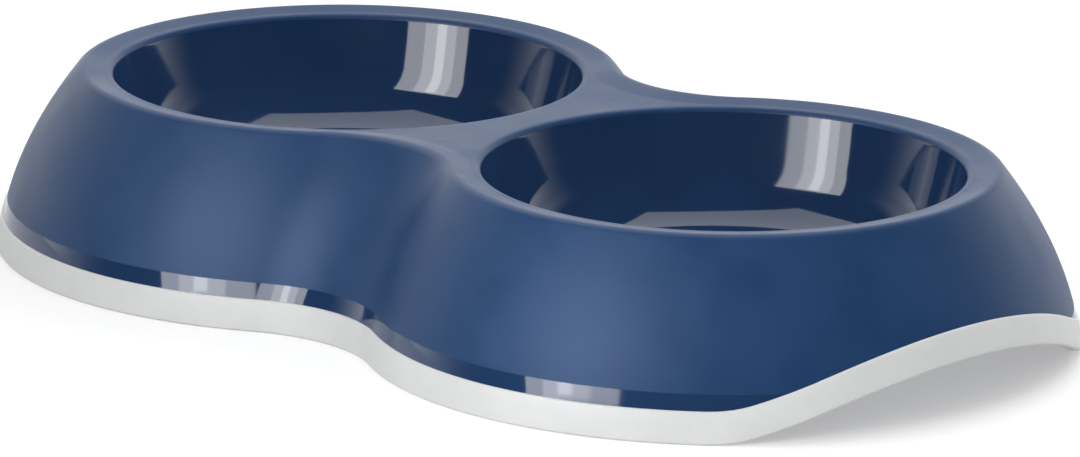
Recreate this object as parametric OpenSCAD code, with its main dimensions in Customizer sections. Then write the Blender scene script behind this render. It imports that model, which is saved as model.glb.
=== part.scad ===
/* [Bowls] */
// Diameter of each bowl at its mouth
mouth_d = 130; // [100:1:160]
// Depth of each bowl, from its mouth to its floor
bowl_depth = 30.5; // [22:0.5:33]
// Lean of a bowl's wall at its mouth, in degrees from upright
mouth_lean = 13; // [5:1:16]
// Lean of a bowl's wall where it runs into the corner at the floor, in degrees from upright
corner_lean = 18; // [17:1:34]
// Radius of the corner between a bowl's wall and its floor
bowl_corner_r = 22.5; // [8:0.5:25]
// Radius of the rounded edge at the top of a bowl's wall
mouth_round_r = 1.6; // [1:0.1:2.4]
// Radius of the flatter rounding that eases this edge into the deck
mouth_ease_r = 5; // [4:0.5:8]
// Turn of the flatter rounding, in degrees
mouth_ease_angle = 12; // [5:0.5:13]
// Gap between the two mouths
mouth_gap = 14.2; // [9:0.2:30]

/* [Body] */
// Height of the body, from the ground to the line where skirt and deck would meet
body_h = 50.5; // [46:0.1:64]
// Width of the deck round a mouth, out to the line where the skirt would cut it
deck_w = 8.8; // [8:0.1:16]
// How far the deck falls on its way in to the mouths, which turns spills back into the bowls
deck_fall = 1.2; // [0.4:0.1:2]
// Radius of the edge between deck and skirt
deck_edge_r = 3; // [2:0.1:4]
// How far the skirt spreads between deck and ground
skirt_spread = 22.5; // [15:0.1:32]
// Outward run of the skirt for each unit of height where it meets the ground
foot_lean_share = 0.09; // [0:0.01:0.22]
// How far each side of the waist draws in from the lobes at the deck
waist_top_inset = 26.3; // [16:0.1:32]
// How far each side of the waist draws in from the lobes at the ground
waist_foot_inset = 19.7; // [14:0.1:28]
// Thickness of the moulded walls
wall = 2.2; // [1.8:0.1:2.8]

/* [Lifting arches] */
// Height of the arch under each end, where fingers go in to lift the bowl
arch_h = 16.4; // [12:0.2:20]
// Radius of the crown of an arch
arch_crown_r = 133; // [110:1:150]
// Slope of the flanks of an arch, in degrees
arch_flank_angle = 21; // [18:0.5:23]
// Radius where a flank runs out into the ground line
arch_foot_r = 25; // [10:1:40]

/* [Anti-slip rim] */
// Height of the rim along the sides
rim_h = 8.7; // [7:0.1:11]
// Height of the rim at the crown of an arch
rim_crown_h = 7.8; // [6:0.1:10]
// How far the rim stands out past the skirt
rim_proud = 0.5; // [0.2:0.1:1]
// Thickness of the rim outside the body's tongue
rim_wall = 1.5; // [1.2:0.1:1.8]
// Thickness of the rim below the tongue
rim_floor = 2.4; // [1.5:0.1:3.5]
// Height of the lip behind the tongue
rim_lip_h = 5.6; // [4.5:0.1:6.8]
// Thickness of the lip behind the tongue
rim_lip = 1.6; // [1:0.1:3]
// Radius of the rim's top edge
rim_top_r = 0.6; // [0.2:0.1:0.8]
// Radius of the rim's edges at the ground
rim_foot_r = 0.8; // [0.3:0.1:1]
// Play between the tongue and each side of its groove
tongue_play = 0.05; // [0.02:0.01:0.15]
// Play below the tongue, so that the rim seats against the shoulder above it
tongue_end_play = 0.2; // [0.05:0.05:0.4]

/* [Hidden] */

// Steps along a quarter of the outline: round a lobe, then through the waist
lobe_steps = 30;
waist_steps = 7;
quarter_steps = lobe_steps + waist_steps;
stations = 4 * quarter_steps;
// Steps up the skirt outside and inside, round a bowl's corner, and round the edges and up a bowl's wall
skirt_steps = 7;
lining_steps = 5;
corner_steps = 6;
edge_steps = 4;
// How far a cutting shape runs past what it cuts
overrun = 1;
// Places above the ground that settle where the arch cuts the sloping skirt
arch_passes = 4;

mouth_r = mouth_d / 2;
lobe_gap = mouth_d + mouth_gap;
top_r = mouth_r + deck_w;
foot_r = top_r + skirt_spread;
waist_top = top_r - waist_top_inset;
waist_foot = foot_r - waist_foot_inset;
mouth_z = body_h - deck_fall;
floor_z = mouth_z - bowl_depth;
body_colour = "#2f4a78";
rim_colour = "#e9eaec";

// Radius of a lobe at height z: a gentle convex sweep from the ground up to the deck
sweep = (skirt_spread - foot_lean_share * body_h) / (body_h * body_h);
function skirt_run(z) = foot_lean_share * z + sweep * z * z;
function skirt_slope(z) = foot_lean_share + 2 * sweep * z;
function lobe_r(z) = foot_r - skirt_run(z);
// Half the width of the waist that goes with a lobe radius, and its value at height z
waist_share = (waist_foot - waist_top) / skirt_spread;
function waist_beside(r) = waist_top + (r - top_r) * waist_share;
function waist_half(z) = waist_beside(lobe_r(z));
// Level thickness of the sloping wall at height z
function level_wall(z) = wall * sqrt(1 + skirt_slope(z) * skirt_slope(z));

// A quarter of the outline: an arc round the lobe's centre, then one through the waist, tangent to it
function waist_r(r, w) = (lobe_gap * lobe_gap / 4 + w * w - r * r) / (2 * (r - w));
function join_angle(r, w) = atan2(w + waist_r(r, w), -lobe_gap / 2);
function on_lobe(r, a) = [lobe_gap / 2 + r * cos(a), r * sin(a)];
function on_waist(b, w, a) = [b * cos(a), w + b + b * sin(a)];
function outline_point(r, w, j) =
    let (a = join_angle(r, w), s = (j - lobe_steps) / waist_steps)
    j <= lobe_steps
        ? on_lobe(r, a * j / lobe_steps)
        : on_waist(waist_r(r, w), w, (a - 180) * (1 - s) - 90 * s);

// Height of an end arch at distance y from the middle: a crown, straight flanks and a run-out
crown_y = arch_crown_r * sin(arch_flank_angle);
crown_drop = arch_crown_r * (1 - cos(arch_flank_angle));
toe_y = crown_y + (arch_h - crown_drop) / tan(arch_flank_angle);
toe_run = arch_foot_r * tan(arch_flank_angle / 2);
function arch(y) =
    y <= crown_y ? arch_h - arch_crown_r + sqrt(arch_crown_r * arch_crown_r - y * y)
    : y <= toe_y - toe_run * cos(arch_flank_angle) ? (toe_y - y) * tan(arch_flank_angle)
    : y < toe_y + toe_run ? arch_foot_r - sqrt(arch_foot_r * arch_foot_r - pow(toe_y + toe_run - y, 2))
    : 0;

// The ground line of the skirt at step j of a quarter, and the rim's height above it
function ground_line(j, z = 0, passes = arch_passes) =
    let (p = outline_point(lobe_r(z), waist_half(z), j))
    p.x <= lobe_gap / 2 ? 0 : passes == 0 ? z : ground_line(j, arch(p.y), passes - 1);
ground = [for (j = [0 : quarter_steps]) ground_line(j)];
rim_share = [for (z = ground) 1 - (1 - rim_crown_h / rim_h) * z / arch_h];
function above_ground(j, up) = ground[j] + up * rim_share[j];

// Section points are [lobe radius, half waist width, height] at step j of a quarter
function outside(z, out = 0) = [lobe_r(z) + out, waist_half(z) + out, z];
function inside(z, out = 0) = outside(z, out - level_wall(z));

// A whole ring from the sections of one quarter, which is mirrored across both middle planes
function fold(i) = let (h = i % (2 * quarter_steps)) h <= quarter_steps ? h : 2 * quarter_steps - h;
function ring(quarter) = [
    for (i = [0 : stations - 1])
        let (j = fold(i), s = quarter[j], p = outline_point(s[0], s[1], j))
        [
            i > quarter_steps && i < 3 * quarter_steps ? -p.x : p.x,
            i > 2 * quarter_steps ? -p.y : p.y,
            s[2]
        ]
];

// Faces between neighbouring rings, and flat caps made of strips from side to side
function band_faces(rings, closed = false) = [
    for (k = [0 : rings - (closed ? 1 : 2)], i = [0 : stations - 1])
        let (
            a = k * stations + i,
            b = k * stations + (i + 1) % stations,
            d = (k + 1) % rings * stations + i,
            c = (k + 1) % rings * stations + (i + 1) % stations
        )
        each [[a, d, b], [b, d, c]]
];
function cap_faces(first, up) = [
    for (i = [0 : 2 * quarter_steps - 1])
        let (
            a = first + i,
            b = first + i + 1,
            c = first + stations - i - 1,
            d = first + (stations - i) % stations
        )
        each up
            ? concat(d == a ? [] : [[a, d, c]], b == c ? [] : [[a, c, b]])
            : concat(d == a ? [] : [[a, c, d]], b == c ? [] : [[a, b, c]])
];

// Centres of the two arcs of a mouth's edge: one rises from the wall, a flatter one runs level into the deck
function swing(centre, r, a) = centre + r * [cos(a), sin(a)];
ease_rise = (mouth_ease_r - mouth_round_r) * cos(mouth_ease_angle);
mouth_centre_z = mouth_z - mouth_ease_r + ease_rise;
mouth_centre = [
    mouth_r - (mouth_z - mouth_centre_z) * tan(mouth_lean) + mouth_round_r / cos(mouth_lean),
    mouth_centre_z
];
ease_centre = swing(mouth_centre, mouth_ease_r - mouth_round_r, mouth_ease_angle - 90);

// The deck's edge in section, from the top of the skirt to the slope of the deck
edge_lean = atan(skirt_slope(body_h));
land_r = ease_centre.x + overrun / 2;
fall_angle = atan(deck_fall / (top_r - land_r));
edge_run = deck_edge_r * tan((90 - edge_lean + fall_angle) / 2);
edge_centre = swing([-edge_run * cos(fall_angle), body_h - edge_run * sin(fall_angle)], deck_edge_r, fall_angle - 90);
edge = [
    for (k = [0 : edge_steps])
        swing(edge_centre, deck_edge_r, edge_lean + (90 + fall_angle - edge_lean) * k / edge_steps)
];

// The skirt and deck as one cap: lining, tongue, shoulder, skirt, edge, sloping deck and level land at the mouths
lining_corner_share = (cos(fall_angle) + sin(edge_lean)) / (1 + sin(edge_lean - fall_angle));
lining_top = body_h - wall * lining_corner_share;
ceiling_ring = [for (j = [0 : quarter_steps]) [land_r, waist_beside(land_r), mouth_z - wall]];
lining_rings = [
    for (k = [0 : lining_steps])
        [for (j = [0 : quarter_steps])
            let (low = above_ground(j, rim_h)) inside(lining_top + (low - lining_top) * k / lining_steps)]
];
tongue_z = rim_floor + tongue_end_play;
shoulder = rim_wall - rim_proud;
tongue_rings = [
    [for (j = [0 : quarter_steps]) inside(above_ground(j, rim_lip_h))],
    [for (j = [0 : quarter_steps]) inside(above_ground(j, tongue_z))],
    [for (j = [0 : quarter_steps]) outside(above_ground(j, tongue_z), -shoulder)],
    [for (j = [0 : quarter_steps]) outside(above_ground(j, rim_h), -shoulder)]
];
skirt_rings = [
    for (k = [0 : skirt_steps - 1])
        [for (j = [0 : quarter_steps])
            let (low = above_ground(j, rim_h)) outside(low + (edge[0].y - low) * k / skirt_steps)]
];
edge_rings = [
    for (e = edge)
        [for (j = [0 : quarter_steps]) [top_r + e.x, waist_beside(top_r + e.x), e.y]]
];
land_ring = [for (j = [0 : quarter_steps]) [land_r, waist_beside(land_r), mouth_z]];
cap_rings = concat([ceiling_ring], lining_rings, tongue_rings, skirt_rings, edge_rings, [land_ring]);

module cap() {
    rings = len(cap_rings);
    polyhedron(
        points = [for (quarter = cap_rings) each ring(quarter)],
        faces = concat(
            cap_faces(0, false),
            band_faces(rings),
            cap_faces((rings - 1) * stations, true)
        )
    );
}

// A bowl's inner face in section: floor, corner, a wall in one hollow sweep, and the mouth's edge
function arc_points(centre, r, from, to, steps, first = 0) = [
    for (k = [first : steps])
        swing(centre, r, from + (to - from) * k / steps)
];
wall_top = swing(mouth_centre, mouth_round_r, 180 - mouth_lean);
wall_rise = wall_top.y - floor_z - bowl_corner_r * (1 - sin(corner_lean));
wall_sweep_r = wall_rise / (sin(corner_lean) - sin(mouth_lean));
wall_centre = swing(wall_top, wall_sweep_r, 180 - mouth_lean);
corner_centre = swing(wall_centre, wall_sweep_r - bowl_corner_r, -corner_lean);
function bowl_section(grow) = concat(
    arc_points(corner_centre, bowl_corner_r + grow, -90, -corner_lean, corner_steps),
    arc_points(wall_centre, wall_sweep_r + grow, -corner_lean, -mouth_lean, edge_steps, 1)
);
mouth_edge = concat(
    arc_points(mouth_centre, mouth_round_r, 180 - mouth_lean, 90 + mouth_ease_angle, edge_steps, 1),
    arc_points(ease_centre, mouth_ease_r, 90 + mouth_ease_angle, 90, edge_steps, 1)
);
// The mouth's edge runs on past the deck in place of its last stretch
mouth_last = len(mouth_edge) - 2;
mouth_exit = 2 * mouth_edge[mouth_last] - mouth_edge[mouth_last - 1];

module bowl_cavity() {
    rotate_extrude()
        polygon(concat(
            [[0, floor_z]],
            bowl_section(0),
            [for (k = [0 : mouth_last]) mouth_edge[k]],
            [mouth_exit, [mouth_exit.x, body_h + overrun], [0, body_h + overrun]]
        ));
}

module bowl_cup() {
    // The cup's outside runs on up into the thickness of the deck
    cup_top = mouth_z - wall / 4;
    outer_top = swing(wall_centre, wall_sweep_r + wall, -mouth_lean);
    rotate_extrude()
        polygon(concat(
            [[0, floor_z - wall]],
            bowl_section(wall),
            [[outer_top.x + (cup_top - outer_top.y) * tan(mouth_lean), cup_top], [0, cup_top]]
        ));
}

module at_bowls() {
    for (side = [-1, 1])
        translate([side * lobe_gap / 2, 0, 0])
            children();
}

module bowl_body() {
    color(body_colour)
        difference() {
            union() {
                cap();
                at_bowls() bowl_cup();
            }
            at_bowls() bowl_cavity();
        }
}

// The rim in section, as [height above the ground line, distance out from the skirt or its lining, side]
SKIRT = 0;
LINING = 1;
function rim_arc(out, up, r, from, side) = [
    for (k = [0 : edge_steps])
        let (a = from + 90 * k / edge_steps)
        [up + r * sin(a), out + r * cos(a), side]
];
rim_section = concat(
    rim_arc(rim_proud - rim_foot_r, rim_foot_r, rim_foot_r, -90, SKIRT),
    rim_arc(rim_proud - rim_top_r, rim_h - rim_top_r, rim_top_r, 0, SKIRT),
    [
        [rim_h, tongue_play - shoulder, SKIRT],
        [rim_floor, tongue_play - shoulder, SKIRT],
        [rim_floor, -tongue_play, LINING],
        [rim_lip_h - rim_top_r, -tongue_play, LINING],
        [rim_lip_h, -tongue_play - rim_top_r, LINING],
        [rim_lip_h, rim_top_r - rim_lip, LINING],
        [rim_lip_h - rim_top_r, -rim_lip, LINING],
        [rim_foot_r, -rim_lip, LINING],
        [0, rim_foot_r - rim_lip, LINING]
    ]
);
rim_rings = [
    for (s = rim_section)
        [for (j = [0 : quarter_steps])
            let (z = above_ground(j, s[0])) s[2] == SKIRT ? outside(z, s[1]) : inside(z, s[1])]
];

module antislip_rim() {
    color(rim_colour)
        polyhedron(
            points = [for (quarter = rim_rings) each ring(quarter)],
            faces = band_faces(len(rim_rings), true)
        );
}

bowl_body();
antislip_rim();
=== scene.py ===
import bmesh
import bpy
import numpy as np
from mathutils import Matrix, Vector


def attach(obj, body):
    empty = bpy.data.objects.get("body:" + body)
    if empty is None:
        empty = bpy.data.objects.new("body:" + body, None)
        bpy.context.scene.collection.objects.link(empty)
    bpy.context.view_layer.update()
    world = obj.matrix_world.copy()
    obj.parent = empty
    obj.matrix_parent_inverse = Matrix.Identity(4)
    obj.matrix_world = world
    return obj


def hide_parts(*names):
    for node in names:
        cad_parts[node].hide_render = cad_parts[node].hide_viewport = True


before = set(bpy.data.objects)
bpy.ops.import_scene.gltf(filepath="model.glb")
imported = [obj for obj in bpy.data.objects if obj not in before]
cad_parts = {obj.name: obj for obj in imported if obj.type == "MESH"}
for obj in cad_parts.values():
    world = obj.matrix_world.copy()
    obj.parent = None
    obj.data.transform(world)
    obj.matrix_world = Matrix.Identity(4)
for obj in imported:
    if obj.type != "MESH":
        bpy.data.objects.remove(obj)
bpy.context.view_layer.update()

MM = 0.001
RIGHT_ANGLE = np.pi / 2

# Sizes of the bowl, the same as in the part's source

MOUTH_R = 65 * MM
MOUTH_GAP = 14.2 * MM
MOUTH_ROUND_R = 1.6 * MM
MOUTH_EASE_R = 5 * MM
MOUTH_EASE = np.radians(12)
BOWL_DEPTH = 30.5 * MM
BOWL_CORNER_R = 22.5 * MM
MOUTH_LEAN = np.radians(13)
CORNER_LEAN = np.radians(18)

BODY_H = 50.5 * MM
DECK_W = 8.8 * MM
DECK_FALL = 1.2 * MM
DECK_EDGE_R = 3 * MM
SKIRT_SPREAD = 22.5 * MM
FOOT_LEAN_SHARE = 0.09
WAIST_TOP_INSET = 26.3 * MM
WAIST_FOOT_INSET = 19.7 * MM
WALL = 2.2 * MM

ARCH_H = 16.4 * MM
ARCH_CROWN_R = 133 * MM
ARCH_FLANK = np.radians(21)
ARCH_FOOT_R = 25 * MM

RIM_H = 8.7 * MM
RIM_CROWN_H = 7.8 * MM
RIM_PROUD = 0.5 * MM
RIM_WALL = 1.5 * MM
RIM_FLOOR = 2.4 * MM
RIM_LIP_H = 5.6 * MM
RIM_LIP = 1.6 * MM
RIM_TOP_R = 0.6 * MM
RIM_FOOT_R = 0.8 * MM
TONGUE_PLAY = 0.05 * MM
TONGUE_END_PLAY = 0.2 * MM

# The level land round a mouth, the deck's soft run-out into it, and the top of the skirt's polished foot

LAND_W = 0.5 * MM
DECK_BLEND = 1.5 * MM
STRIP_TOP = 13 * MM

LOBE_GAP = 2 * MOUTH_R + MOUTH_GAP
LOBE_X = LOBE_GAP / 2
TOP_R = MOUTH_R + DECK_W
FOOT_R = TOP_R + SKIRT_SPREAD
WAIST_TOP = TOP_R - WAIST_TOP_INSET
WAIST_FOOT = FOOT_R - WAIST_FOOT_INSET
WAIST_SHARE = (WAIST_FOOT - WAIST_TOP) / SKIRT_SPREAD
MOUTH_Z = BODY_H - DECK_FALL
FLOOR_Z = MOUTH_Z - BOWL_DEPTH
CEILING_Z = MOUTH_Z - WALL
SHOULDER = RIM_WALL - RIM_PROUD

# Steps of the mesh along a quarter of the outline: lobe, waist, and on along the middle line of the deck
LOBE_STEPS = 96
WAIST_STEPS = 24
MIDDLE_STEPS = 14
QUARTER = np.arange(LOBE_STEPS + WAIST_STEPS + 1)
# Steps up the polished strip, the skirt above it and the lining behind them
STRIP_STEPS = 5
SKIRT_STEPS = 24
LINING_STEPS = 12
# Steps over the deck's edge, down its fall, through its run-out and on to a mouth
EDGE_STEPS = 12
FALL_STEPS = 3
BLEND_STEPS = 6
DECK_STEPS = 5
# Steps round the two arcs of a mouth's edge, then along a bowl's wall and corner, inside and below
EASE_STEPS = 4
MOUTH_STEPS = 12
WALL_STEPS = 20
CORNER_STEPS = 16
CUP_WALL_STEPS = 12
CUP_CORNER_STEPS = 10
# Rings of a bowl's floor, inside and below, as shares of its radius
FLOOR_SHARES = (0.85, 0.6, 0.3, 0)
BOTTOM_SHARES = (0.7, 0.35, 0)
# Narrow rows beside a mouth and round a floor, which keep the flat faces next to them evenly shaded
MOUTH_MARGIN = 0.1 * MM
FLOOR_MARGIN = 0.3 * MM
# Steps round each corner of the rim, and the rows of its outer side as shares of its height
RIM_CORNER_STEPS = 8
RIM_ROW_SHARES = (0.2, 0.4, 0.6, 0.8)
# Rounds that settle where the arch cuts the sloping skirt
ARCH_PASSES = 12

SMOOTH_ANGLE = np.radians(35)
WELD = 1e-7


# The body's outline and heights

SWEEP = (SKIRT_SPREAD - FOOT_LEAN_SHARE * BODY_H) / BODY_H**2


def skirt_run(z):
    """How far the skirt has drawn in at height z."""
    return FOOT_LEAN_SHARE * z + SWEEP * z**2


def skirt_slope(z):
    """Run of the skirt for each unit of height, at height z."""
    return FOOT_LEAN_SHARE + 2 * SWEEP * z


def waist_arc(r, w):
    """The waist's radius and the angle where it meets the lobe, for lobe radius r and half waist width w."""
    b = (LOBE_X**2 + w**2 - r**2) / (2 * (r - w))
    return b, np.arctan2(w + b, -LOBE_X)


def outline(r, w):
    """A quarter of the outline. Lobe radius r and half waist width w are one value or one at each step."""
    b, join = waist_arc(r, w)
    lobe_angle = join * QUARTER / LOBE_STEPS
    s = (QUARTER - LOBE_STEPS) / WAIST_STEPS
    waist_angle = (join - np.pi) * (1 - s) - RIGHT_ANGLE * s
    on_lobe = QUARTER <= LOBE_STEPS
    x = np.where(on_lobe, LOBE_X + r * np.cos(lobe_angle), b * np.cos(waist_angle))
    y = np.where(on_lobe, r * np.sin(lobe_angle), w + b + b * np.sin(waist_angle))
    return x, y


def ring(section):
    """The outline of a section point [lobe radius, half waist width, height]."""
    r, w, z = section
    x, y = outline(r, w)
    return np.stack([x, y, np.broadcast_to(z, x.shape)], axis=-1)


def waist_beside(lobe):
    """Half the width of the waist that goes with a lobe radius."""
    return WAIST_TOP + (lobe - TOP_R) * WAIST_SHARE


def outside(z, out=0.0):
    """The section point of the skirt's outer side at height z, moved out."""
    lobe = FOOT_R - skirt_run(z)
    return lobe + out, waist_beside(lobe) + out, z


def inside(z, out=0.0):
    """The section point of the skirt's lining at height z, moved out."""
    return outside(z, out - WALL * np.sqrt(1 + skirt_slope(z) ** 2))


def arch(y):
    """Height of the skirt's lower edge above the ground at distance y from the middle."""
    crown_y = ARCH_CROWN_R * np.sin(ARCH_FLANK)
    crown_drop = ARCH_CROWN_R * (1 - np.cos(ARCH_FLANK))
    toe_y = crown_y + (ARCH_H - crown_drop) / np.tan(ARCH_FLANK)
    toe_run = ARCH_FOOT_R * np.tan(ARCH_FLANK / 2)
    crown = ARCH_H - ARCH_CROWN_R + np.sqrt(np.maximum(ARCH_CROWN_R**2 - y**2, 0))
    flank = (toe_y - y) * np.tan(ARCH_FLANK)
    to_toe = np.maximum(toe_y + toe_run - y, 0)
    foot = ARCH_FOOT_R - np.sqrt(np.maximum(ARCH_FOOT_R**2 - to_toe**2, 0))
    on_flank = y <= toe_y - toe_run * np.cos(ARCH_FLANK)
    return np.where(y <= crown_y, crown, np.where(on_flank, flank, foot))


def ground_line():
    """Height of the skirt's lower edge at each step of the quarter."""
    z = np.zeros(len(QUARTER))
    for _ in range(ARCH_PASSES):
        lobe, waist, _ = outside(z)
        x, y = outline(lobe, waist)
        z = np.where(x > LOBE_X, arch(y), 0)
    return z


GROUND = ground_line()
RIM_SHARE = 1 - (1 - RIM_CROWN_H / RIM_H) * GROUND / ARCH_H


def above_ground(up):
    """Heights at each step for a height up on the rim, which is a little lower over the arches."""
    return GROUND + up * RIM_SHARE


RIM_TOP = above_ground(RIM_H)


# Meshes, built as grids over one quarter and mirrored


class Quarter:
    """Grids of points over the quarter with x and y above 0, each with a material number."""

    def __init__(self):
        self.points = []
        self.faces = []
        self.slots = []

    def grid(self, rows, slot=0):
        """Add faces between neighbouring rows, which all have the same number of points."""
        rows = [np.asarray(row) for row in rows]
        start = sum(len(p) for p in self.points)
        columns = len(rows[0])
        self.points.extend(rows)
        for i in range(len(rows) - 1):
            for j in range(columns - 1):
                a = start + i * columns + j
                self.faces.append((a, a + 1, a + 1 + columns, a + columns))
                self.slots.append(slot)

    def mesh(self, name):
        """Mirror the quarter to the whole shape, weld it and mark its sharp edges."""
        points = np.concatenate(self.points)
        count = len(points)
        all_points = []
        all_faces = []
        for k, (sx, sy) in enumerate(((1, 1), (-1, 1), (-1, -1), (1, -1))):
            all_points.append(points * (sx, sy, 1))
            for face in self.faces:
                corners = [k * count + v for v in face]
                all_faces.append(corners if sx * sy > 0 else corners[::-1])
        data = bpy.data.meshes.new(name)
        data.from_pydata(np.concatenate(all_points).tolist(), [], all_faces)
        data.polygons.foreach_set("material_index", self.slots * 4)
        work = bmesh.new()
        work.from_mesh(data)
        bmesh.ops.remove_doubles(work, verts=work.verts, dist=WELD)
        bmesh.ops.dissolve_degenerate(work, edges=work.edges, dist=WELD)
        bmesh.ops.recalc_face_normals(work, faces=work.faces)
        for face in work.faces:
            face.smooth = True
        for edge in work.edges:
            edge.smooth = len(edge.link_faces) == 2 and edge.calc_face_angle() < SMOOTH_ANGLE
        work.to_mesh(data)
        work.free()
        return data


def blend_rows(start, end, steps):
    return [start + (end - start) * k / steps for k in range(steps + 1)]


def arc(centre, r, start, end, steps, first=0):
    """Points [distance from the axis, height] round a centre, at angles in radians."""
    angles = np.linspace(start, end, steps + 1)[first:]
    return [swing(centre, r, angle) for angle in angles]


def swing(centre, r, angle):
    return centre[0] + r * np.cos(angle), centre[1] + r * np.sin(angle)


# The section of a bowl's inside: two arcs of the mouth's edge, hollow wall, corner and floor

MOUTH_DROP = MOUTH_EASE_R - (MOUTH_EASE_R - MOUTH_ROUND_R) * np.cos(MOUTH_EASE)
MOUTH_CENTRE = (
    MOUTH_R - MOUTH_DROP * np.tan(MOUTH_LEAN) + MOUTH_ROUND_R / np.cos(MOUTH_LEAN),
    MOUTH_Z - MOUTH_DROP,
)
EASE_CENTRE = swing(MOUTH_CENTRE, MOUTH_EASE_R - MOUTH_ROUND_R, MOUTH_EASE - RIGHT_ANGLE)
WALL_TOP = swing(MOUTH_CENTRE, MOUTH_ROUND_R, np.pi - MOUTH_LEAN)
WALL_RISE = WALL_TOP[1] - FLOOR_Z - BOWL_CORNER_R * (1 - np.sin(CORNER_LEAN))
WALL_SWEEP_R = WALL_RISE / (np.sin(CORNER_LEAN) - np.sin(MOUTH_LEAN))
WALL_CENTRE = swing(WALL_TOP, WALL_SWEEP_R, np.pi - MOUTH_LEAN)
CORNER_CENTRE = swing(WALL_CENTRE, WALL_SWEEP_R - BOWL_CORNER_R, -CORNER_LEAN)


def bowl_section(grow, wall_steps, corner_steps):
    """A bowl's wall and corner, at a distance of grow outside its inner side."""
    wall = arc(WALL_CENTRE, WALL_SWEEP_R + grow, -MOUTH_LEAN, -CORNER_LEAN, wall_steps)
    corner = arc(CORNER_CENTRE, BOWL_CORNER_R + grow, -CORNER_LEAN, -RIGHT_ANGLE, corner_steps, 1)
    return wall + corner


# The section of the deck: it falls from its edge to a narrow level land round the mouths

LEVEL_R = EASE_CENTRE[0]
LAND_R = LEVEL_R + LAND_W
EDGE_LEAN = np.arctan(skirt_slope(BODY_H))
FALL_ANGLE = np.arctan(DECK_FALL / (TOP_R - LAND_R))
LINING_CORNER_SHARE = (np.cos(FALL_ANGLE) + np.sin(EDGE_LEAN)) / (1 + np.sin(EDGE_LEAN - FALL_ANGLE))


def deck_edge():
    """The rounded edge between skirt and deck, as [lobe radius, height]."""
    run = DECK_EDGE_R * np.tan((RIGHT_ANGLE - EDGE_LEAN + FALL_ANGLE) / 2)
    foot = (TOP_R - run * np.cos(FALL_ANGLE), BODY_H - run * np.sin(FALL_ANGLE))
    centre = swing(foot, DECK_EDGE_R, FALL_ANGLE - RIGHT_ANGLE)
    return arc(centre, DECK_EDGE_R, EDGE_LEAN, RIGHT_ANGLE + FALL_ANGLE, EDGE_STEPS)


def deck_slope():
    """The deck's fall inside this edge, and its soft run-out into the land."""
    edge = deck_edge()[-1]
    corner = (LAND_R, MOUTH_Z)
    start = swing(corner, DECK_BLEND, FALL_ANGLE)
    end = (LAND_R - LAND_W / 2, MOUTH_Z)
    fall = [tuple(row) for row in blend_rows(np.array(edge), np.array(start), FALL_STEPS)[1:]]
    for t in np.arange(1, BLEND_STEPS + 1) / BLEND_STEPS:
        weights = ((1 - t) ** 2, 2 * t * (1 - t), t**2)
        fall.append(tuple(np.dot(weights, (start, corner, end))))
    return fall


DECK = deck_edge() + deck_slope()


def level_ring(section_point):
    """The outline of a point [lobe radius, height] of the deck."""
    r, z = section_point
    return ring((r, waist_beside(r), z))


def bowl_angles():
    """Angles round a bowl that meet the steps of the deck's outline, then run on through the middle line."""
    r = DECK[-1][0]
    _, join = waist_arc(r, waist_beside(r))
    beside_lobe = join * np.arange(LOBE_STEPS) / LOBE_STEPS
    return np.concatenate([beside_lobe, np.linspace(join, np.pi, WAIST_STEPS + MIDDLE_STEPS + 1)])


BOWL_ANGLES = bowl_angles()


def circle(r, z):
    """A row round a bowl at radius r and height z."""
    x = LOBE_X + r * np.cos(BOWL_ANGLES)
    y = r * np.sin(BOWL_ANGLES)
    return np.stack([x, y, np.full(len(BOWL_ANGLES), z)], axis=-1)


def with_middle_line(row):
    """An outline's row, run on down the middle line to the centre of the deck."""
    fall = np.linspace(1, 0, MIDDLE_STEPS + 1)[1:, None]
    return np.concatenate([row, row[-1] * (1, 0, 1) * np.where([0, 1, 0], fall, 1)])


def flat_rings(edge, shares):
    """The section of a flat round floor inside its edge point, with a narrow row along the edge."""
    r, z = edge
    return [(r - FLOOR_MARGIN, z)] + [(r * share, z) for share in shares]


# The moulded body

SATIN, POLISHED, UNDERSIDE = range(3)


def add_lining(quarter):
    """The skirt's lining, from the ceiling under the deck down to the tongue, and the tongue itself."""
    tongue = above_ground(RIM_FLOOR + TONGUE_END_PLAY)
    top = np.full(len(QUARTER), BODY_H - WALL * LINING_CORNER_SHARE)
    lining = [ring(inside(z)) for z in blend_rows(top, RIM_TOP, LINING_STEPS)]
    quarter.grid([level_ring((LAND_R, CEILING_Z))] + lining, UNDERSIDE)
    quarter.grid([ring(inside(z)) for z in (RIM_TOP, above_ground(RIM_LIP_H), tongue)], UNDERSIDE)
    tongue_outside = [ring(outside(z, -SHOULDER)) for z in (tongue, RIM_TOP)]
    quarter.grid([ring(inside(tongue)), *tongue_outside, ring(outside(RIM_TOP))], UNDERSIDE)


def add_skirt_and_deck(quarter):
    """The polished strip, the skirt above it and the deck round the mouths."""
    strip_top = np.maximum(RIM_TOP, STRIP_TOP)
    skirt_top = np.full(len(QUARTER), DECK[0][1])
    quarter.grid([ring(outside(z)) for z in blend_rows(RIM_TOP, strip_top, STRIP_STEPS)], POLISHED)
    skirt = [ring(outside(z)) for z in blend_rows(strip_top, skirt_top, SKIRT_STEPS)[:-1]]
    quarter.grid(skirt + [level_ring(point) for point in DECK], SATIN)
    margin = circle(LEVEL_R + MOUTH_MARGIN, MOUTH_Z)
    quarter.grid(blend_rows(with_middle_line(level_ring(DECK[-1])), margin, DECK_STEPS), SATIN)
    quarter.grid([margin, circle(LEVEL_R, MOUTH_Z)], SATIN)


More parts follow.
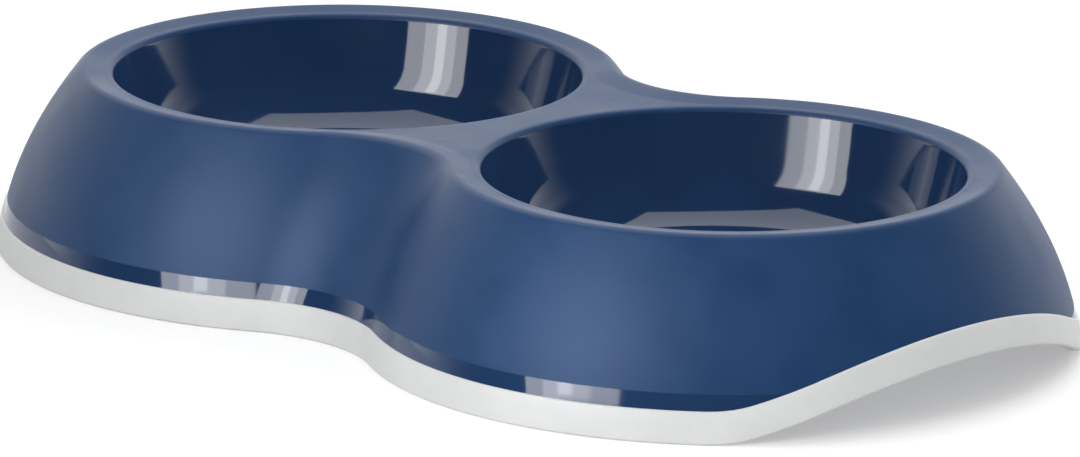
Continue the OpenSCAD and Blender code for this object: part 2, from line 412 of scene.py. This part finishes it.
def add_bowl(quarter):
    """The rounded edge of a mouth, and the wall, corner and floor of its bowl."""
    ease = arc(EASE_CENTRE, MOUTH_EASE_R, RIGHT_ANGLE, RIGHT_ANGLE + MOUTH_EASE, EASE_STEPS)
    mouth = arc(MOUTH_CENTRE, MOUTH_ROUND_R, RIGHT_ANGLE + MOUTH_EASE, np.pi - MOUTH_LEAN, MOUTH_STEPS, 1)
    quarter.grid([circle(r, z) for r, z in ease + mouth], SATIN)
    bowl = bowl_section(0, WALL_STEPS, CORNER_STEPS)
    quarter.grid([circle(r, z) for r, z in bowl + flat_rings(bowl[-1], FLOOR_SHARES)], POLISHED)


def add_underside(quarter):
    """The ceiling under the deck, and the outer side of a bowl below it."""
    top_r = WALL_CENTRE[0] + np.sqrt((WALL_SWEEP_R + WALL) ** 2 - (WALL_CENTRE[1] - CEILING_Z) ** 2)
    ceiling = with_middle_line(level_ring((LAND_R, CEILING_Z)))
    quarter.grid(blend_rows(ceiling, circle(top_r, CEILING_Z), DECK_STEPS), UNDERSIDE)
    cup = [(r, z) for r, z in bowl_section(WALL, CUP_WALL_STEPS, CUP_CORNER_STEPS) if z < CEILING_Z]
    section = [(top_r, CEILING_Z)] + cup + flat_rings(cup[-1], BOTTOM_SHARES)
    quarter.grid([circle(r, z) for r, z in section], UNDERSIDE)


def body_mesh():
    quarter = Quarter()
    add_lining(quarter)
    add_skirt_and_deck(quarter)
    add_bowl(quarter)
    add_underside(quarter)
    return quarter.mesh("bowl_body_surface")


# The soft rim


def rim_corner(out, up, r, start):
    """A rounded corner of the rim's outer side, round a centre."""
    return [(z, x, outside) for x, z in arc((out, up), r, start, start + RIGHT_ANGLE, RIM_CORNER_STEPS)]


def rim_mesh():
    """The rim. Its section points are [height above the ground line, distance out, skirt or lining]."""
    outer_side = (
        rim_corner(RIM_PROUD - RIM_FOOT_R, RIM_FOOT_R, RIM_FOOT_R, -RIGHT_ANGLE)
        + [(RIM_H * share, RIM_PROUD, outside) for share in RIM_ROW_SHARES]
        + rim_corner(RIM_PROUD - RIM_TOP_R, RIM_H - RIM_TOP_R, RIM_TOP_R, 0)
    )
    groove_and_lip = [
        (RIM_H, TONGUE_PLAY - SHOULDER, outside),
        (RIM_FLOOR, TONGUE_PLAY - SHOULDER, outside),
        (RIM_FLOOR, -TONGUE_PLAY, inside),
        (RIM_LIP_H - RIM_TOP_R, -TONGUE_PLAY, inside),
        (RIM_LIP_H, -TONGUE_PLAY - RIM_TOP_R, inside),
        (RIM_LIP_H, RIM_TOP_R - RIM_LIP, inside),
        (RIM_LIP_H - RIM_TOP_R, -RIM_LIP, inside),
        (RIM_FOOT_R, -RIM_LIP, inside),
        (0, RIM_FOOT_R - RIM_LIP, inside),
    ]
    section = outer_side + groove_and_lip + outer_side[:1]
    quarter = Quarter()
    quarter.grid([ring(side(above_ground(up), out)) for up, out, side in section])
    return quarter.mesh("antislip_rim_surface")


# Node trees


class Nodes:
    """A short way to build a node tree. A value is a number, a vector, a colour or another node's output."""

    def __init__(self, tree):
        self.tree = tree

    def fill(self, socket, value):
        if isinstance(value, bpy.types.NodeSocket):
            self.tree.links.new(value, socket)
        else:
            socket.default_value = value

    def node(self, kind, settings=None, **inputs):
        """A new node with its settings and inputs. An input's name is written with _ for a space."""
        made = self.tree.nodes.new(kind)
        for key, value in (settings or {}).items():
            setattr(made, key, value)
        for key, value in inputs.items():
            self.fill(made.inputs[key.replace("_", " ")], value)
        return made

    def math(self, operation, a, b=0.0):
        made = self.node("ShaderNodeMath", {"operation": operation})
        self.fill(made.inputs[0], a)
        self.fill(made.inputs[1], b)
        return made.outputs[0]

    def spread(self, value, low, high, out_low=0.0, out_high=1.0):
        """A soft step from out_low to out_high while the value goes from low to high."""
        made = self.node(
            "ShaderNodeMapRange",
            {"interpolation_type": "SMOOTHSTEP"},
            Value=value,
            From_Min=low,
            From_Max=high,
            To_Min=out_low,
            To_Max=out_high,
        )
        return made.outputs["Result"]

    def mix(self, kind, factor, first, second):
        made = self.node("ShaderNodeMix", {"data_type": kind}, Factor=factor, A=first, B=second)
        return made.outputs["Result"]


class Finish(Nodes):
    """The node tree of a piece's material, round its own surface shader."""

    def __init__(self, name):
        self.material = bpy.data.materials.new(name)
        self.material.use_nodes = True
        super().__init__(self.material.node_tree)
        self.surface = self.tree.nodes["Principled BSDF"]
        self.place = self.node("ShaderNodeTexCoord").outputs["Object"]

    def noise(self, scale, detail=2.0, roughness=0.5, place=None):
        place = place or self.place
        made = self.node("ShaderNodeTexNoise", Vector=place, Scale=scale, Detail=detail, Roughness=roughness)
        return made.outputs["Fac"]

    def stretched(self, scale, turn=(0, 0, 0)):
        made = self.node("ShaderNodeMapping", Vector=self.place, Scale=scale, Rotation=turn)
        return made.outputs["Vector"]

    def bump(self, height, strength, depth):
        made = self.node("ShaderNodeBump", Height=height, Strength=strength, Distance=depth)
        return made.outputs["Normal"]

    def set(self, **inputs):
        for key, value in inputs.items():
            self.fill(self.surface.inputs[key.replace("_", " ")], value)


# Materials

NAVY = (0.014, 0.056, 0.160, 1)
NAVY_LIGHT = (0.018, 0.064, 0.176, 1)
NAVY_DEEP = (0.017, 0.048, 0.128, 1)
NAVY_SOFT = (0.020, 0.054, 0.143, 1)
SOFT_WHITE = (0.85, 0.86, 0.86, 1)
SOFT_WHITE_LIGHT = (0.88, 0.89, 0.89, 1)
WORN_WHITE = (0.80, 0.80, 0.79, 1)
WORN_SHARE = 0.35

# Depths of the relief in each finish, and how far light goes into the rim
SATIN_GRAIN_DEPTH = 0.04 * MM
RIPPLE_DEPTH = 0.3 * MM
UNDERSIDE_GRAIN_DEPTH = 0.06 * MM
RIM_GRAIN_DEPTH = 0.05 * MM
RIM_LIGHT_DEPTH = 2 * MM

# The noise values between which a mottle goes from one colour to the other, and from one gloss to the other
COLOUR_STEP = (0.35, 0.65)
GLOSS_STEP = (0.3, 0.7)


def hairlines(finish, stretch, turn, width):
    """Fine scratches in patches: thin bands where a long, narrow noise is near its middle value."""
    streaks = finish.noise(1.0, detail=3.0, roughness=0.6, place=finish.stretched(stretch, turn))
    gap = finish.math("ABSOLUTE", finish.math("SUBTRACT", streaks, 0.5))
    lines = finish.spread(gap, 0.0, width, out_low=1.0, out_high=0.0)
    patches = finish.spread(finish.noise(18.0), 0.52, 0.70)
    return finish.math("MULTIPLY", lines, patches)


def satin_material():
    """Navy plastic with the fine, even grain of a blasted mould."""
    finish = Finish("navy_satin")
    grain = finish.noise(2400.0, roughness=0.6)
    mottle = finish.noise(55.0, detail=3.0)
    rubs = hairlines(finish, stretch=(14, 160, 60), turn=(0.3, 0.2, 0.9), width=0.012)
    base_rough = finish.spread(mottle, *GLOSS_STEP, 0.40, 0.47)
    finish.set(
        Base_Color=finish.mix("RGBA", finish.spread(mottle, *COLOUR_STEP), NAVY, NAVY_LIGHT),
        Roughness=finish.math("ADD", base_rough, finish.math("MULTIPLY", rubs, -0.07)),
        Normal=finish.bump(grain, strength=0.22, depth=SATIN_GRAIN_DEPTH),
        IOR=1.5,
        Specular_IOR_Level=0.19,
    )
    return finish.material


def polished_material():
    """The same navy plastic from a polished part of the mould, with faint swirls from wiping."""
    finish = Finish("navy_polished")
    mottle = finish.noise(30.0)
    swirls = hairlines(finish, stretch=(30, 240, 120), turn=(0.8, 0.1, 0.4), width=0.02)
    smear = finish.spread(finish.noise(22.0, detail=3.0), 0.45, 0.7, 0.05, 0.10)
    ripple = finish.noise(60.0, detail=1.0)
    finish.set(
        Base_Color=finish.mix("RGBA", finish.spread(mottle, *COLOUR_STEP), NAVY_DEEP, NAVY_SOFT),
        Roughness=finish.math("ADD", smear, finish.math("MULTIPLY", swirls, 0.10)),
        Normal=finish.bump(ripple, strength=0.05, depth=RIPPLE_DEPTH),
        IOR=1.52,
    )
    return finish.material


def underside_material():
    """The plain moulded underside: duller, with faint flow marks."""
    finish = Finish("navy_underside")
    flow = finish.noise(1.0, detail=3.0, place=finish.stretched((30, 30, 90)))
    finish.set(
        Base_Color=finish.mix("RGBA", finish.spread(flow, *GLOSS_STEP), NAVY, NAVY_LIGHT),
        Roughness=finish.spread(flow, *GLOSS_STEP, 0.42, 0.56),
        Normal=finish.bump(finish.noise(900.0), strength=0.25, depth=UNDERSIDE_GRAIN_DEPTH),
        IOR=1.5,
    )
    return finish.material


def rim_material():
    """Soft white plastic with a dull bloom and faint handling marks."""
    finish = Finish("soft_white")
    bloom = finish.noise(70.0, detail=3.0)
    dust = finish.spread(finish.noise(240.0, detail=3.0), 0.55, 0.8)
    clean = finish.mix("RGBA", finish.spread(bloom, *COLOUR_STEP), SOFT_WHITE, SOFT_WHITE_LIGHT)
    grain = finish.noise(1500.0, roughness=0.6)
    finish.set(
        Base_Color=finish.mix("RGBA", finish.math("MULTIPLY", dust, WORN_SHARE), clean, WORN_WHITE),
        Roughness=finish.spread(bloom, *GLOSS_STEP, 0.44, 0.56),
        Normal=finish.bump(grain, strength=0.2, depth=RIM_GRAIN_DEPTH),
        IOR=1.48,
        Specular_IOR_Level=0.3,
        Subsurface_Weight=0.08,
        Subsurface_Scale=RIM_LIGHT_DEPTH,
        Subsurface_Radius=(1.0, 0.9, 0.8),
    )
    return finish.material


# The two pieces


def piece(name, data, materials, node):
    made = bpy.data.objects.new(name, data)
    bpy.context.scene.collection.objects.link(made)
    for material in materials:
        data.materials.append(material)
    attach(made, "root")
    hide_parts(node)


BODY_MATERIALS = [satin_material(), polished_material(), underside_material()]
piece("moulded_bowl", body_mesh(), BODY_MATERIALS, "bowl_body")
piece("soft_rim", rim_mesh(), [rim_material()], "antislip_rim")


# The studio: floor, world and lamps. Angles are in degrees

FLOOR_R = 9.0
FLOOR_SIDES = 96
FLOOR_COLOUR = (0.80, 0.80, 0.80, 1)
FLOOR_GLOW = 0.40

# The backdrop is a strip of light behind the object that fades sideways and upwards, brighter low down
BACKDROP_AZIMUTH = 225
BACKDROP_SPREAD = (-0.10, 0.55)
BACKDROP_TOP = (0.45, 0.60)
BACKDROP_LIGHT = 1.12
BACKDROP_FOOT = (0.25, 0.40)
BACKDROP_FOOT_LIGHT = 0.60
AMBIENT = 0.42
WHITE = (1, 1, 1, 1)

# The polished plastic mirrors a broad lamp in front, with a brighter heart and core, and one above. Two more
# lamps, in front and above, give the level light on every surface
LAMPS_AIM = Vector((0, 0, 0.030))
FRONT_ELEVATION = 25.5
FRONT_ROLL = 10
TOP_ELEVATION = 60
TOP_DISTANCE = 2.1
TOP_SPAN = (50, 56)


def direction(azimuth, elevation):
    """Towards an azimuth, where 0 is the side of -Y and 90 is the side of +X, and an elevation."""
    az, el = np.radians(azimuth), np.radians(elevation)
    return Vector((np.sin(az) * np.cos(el), -np.cos(az) * np.cos(el), np.sin(el)))


def stand(name, data, centre, place, roll):
    """Put a lamp or a camera at a place [azimuth, elevation, distance] from a centre that it looks at."""
    azimuth, elevation, distance = place
    away = direction(azimuth, elevation)
    across = away.cross(Vector((0, 0, 1))).normalized()
    up = across.cross(away) * np.cos(np.radians(roll)) + across * np.sin(np.radians(roll))
    turn = Matrix((up.cross(away), up, away)).transposed()
    made = bpy.data.objects.new(name, data)
    bpy.context.scene.collection.objects.link(made)
    made.matrix_world = Matrix.Translation(centre + away * distance) @ turn.to_4x4()
    return made


def shown_to_camera(nodes):
    """1 for what the camera, a mirror or glass sees, and 0 for the light that falls on things."""
    path = nodes.node("ShaderNodeLightPath").outputs
    seen = nodes.math("MAXIMUM", path["Is Camera Ray"], path["Is Glossy Ray"])
    return nodes.math("MAXIMUM", seen, path["Is Transmission Ray"])


def make_floor():
    bpy.ops.mesh.primitive_circle_add(
        vertices=FLOOR_SIDES, radius=FLOOR_R, fill_type="NGON", location=(0, 0, 0)
    )
    floor = bpy.context.object
    floor.name = "floor"
    material = bpy.data.materials.new("pale_floor")
    material.use_nodes = True
    nodes = Nodes(material.node_tree)
    nodes.tree.nodes.clear()
    paint = nodes.node("ShaderNodeBsdfDiffuse", Color=FLOOR_COLOUR)
    shown = nodes.math("MULTIPLY", shown_to_camera(nodes), FLOOR_GLOW)
    glow = nodes.node("ShaderNodeEmission", Strength=shown)
    both = nodes.node("ShaderNodeAddShader")
    nodes.fill(both.inputs[0], paint.outputs[0])
    nodes.fill(both.inputs[1], glow.outputs[0])
    nodes.node("ShaderNodeOutputMaterial", Surface=both.outputs[0])
    floor.data.materials.append(material)


def make_world():
    """A level light on every surface, the backdrop in what they mirror, and white for the camera."""
    world = bpy.data.worlds.new("studio")
    bpy.context.scene.world = world
    world.use_nodes = True
    nodes = Nodes(world.node_tree)
    nodes.tree.nodes.clear()
    place = nodes.node("ShaderNodeTexCoord").outputs["Generated"]
    behind = nodes.node("ShaderNodeVectorMath", {"operation": "DOT_PRODUCT"})
    nodes.fill(behind.inputs[0], place)
    nodes.fill(behind.inputs[1], direction(BACKDROP_AZIMUTH, 0))
    height = nodes.node("ShaderNodeSeparateXYZ", Vector=place).outputs["Z"]
    across = nodes.spread(behind.outputs["Value"], *BACKDROP_SPREAD)
    upper = nodes.spread(height, *BACKDROP_TOP, BACKDROP_LIGHT, 0.0)
    lower = nodes.spread(height, *BACKDROP_FOOT, BACKDROP_FOOT_LIGHT, 0.0)
    backdrop = nodes.math("MULTIPLY", across, nodes.math("ADD", upper, lower))
    path = nodes.node("ShaderNodeLightPath").outputs
    lit = nodes.mix("FLOAT", path["Is Diffuse Ray"], backdrop, AMBIENT)
    seen = nodes.mix("FLOAT", path["Is Camera Ray"], lit, 1.0)
    sky = nodes.node("ShaderNodeBackground", Color=WHITE, Strength=seen)
    nodes.node("ShaderNodeOutputWorld", Surface=sky.outputs[0])


def softbox(name, place, span, radiance, rays, roll=0.0):
    """A lamp whose face spans [width, height] seen from its aim. It gives diffuse or glossy rays alone."""
    distance = place[2]
    width, height = np.radians(span)
    data = bpy.data.lights.new(name, "AREA")
    data.shape = "RECTANGLE"
    data.size = 2 * distance * np.tan(width / 2)
    data.size_y = 2 * distance * np.tan(height / 2)
    data.energy = radiance * np.pi * data.size * data.size_y
    lamp = stand(name, data, LAMPS_AIM, place, roll)
    lamp.visible_camera = False
    lamp.visible_diffuse = rays == "diffuse"
    lamp.visible_glossy = rays == "glossy"


make_floor()
make_world()
softbox("front_softbox", (-5, FRONT_ELEVATION, 2.20), (33, 43), 5.6, "glossy", FRONT_ROLL)
softbox("front_heart", (-6.5, FRONT_ELEVATION, 2.18), (17, 40), 2.8, "glossy", FRONT_ROLL)
softbox("front_core", (-7, FRONT_ELEVATION, 2.16), (5, 38), 4.2, "glossy", FRONT_ROLL)
softbox("front_fill", (28, 18, 0.42), (25, 18), 5.5, "diffuse", FRONT_ROLL)
softbox("top_softbox", (-123, TOP_ELEVATION, TOP_DISTANCE), TOP_SPAN, 2.0, "glossy")
softbox("top_fill", (180, TOP_ELEVATION, TOP_DISTANCE), TOP_SPAN, 1.5, "diffuse")


# The camera, fitted to the photograph's mouths, skirt and ground line

CAMERA_PLACE = (44.89, 14.775, 2.6754)
CAMERA_ROLL = 0.676
LOOKS_AT = Vector((0, 0, 0.025))
LENS_MM = 328.39
SENSOR_MM = 36.0
SHIFT = (0.0080, -0.02238)

camera_data = bpy.data.cameras.new("camera")
camera_data.sensor_width = SENSOR_MM
camera_data.lens = LENS_MM
camera_data.shift_x, camera_data.shift_y = SHIFT
bpy.context.scene.camera = stand("camera", camera_data, LOOKS_AT, CAMERA_PLACE, CAMERA_ROLL)
bpy.context.scene.view_settings.view_transform = "Standard"
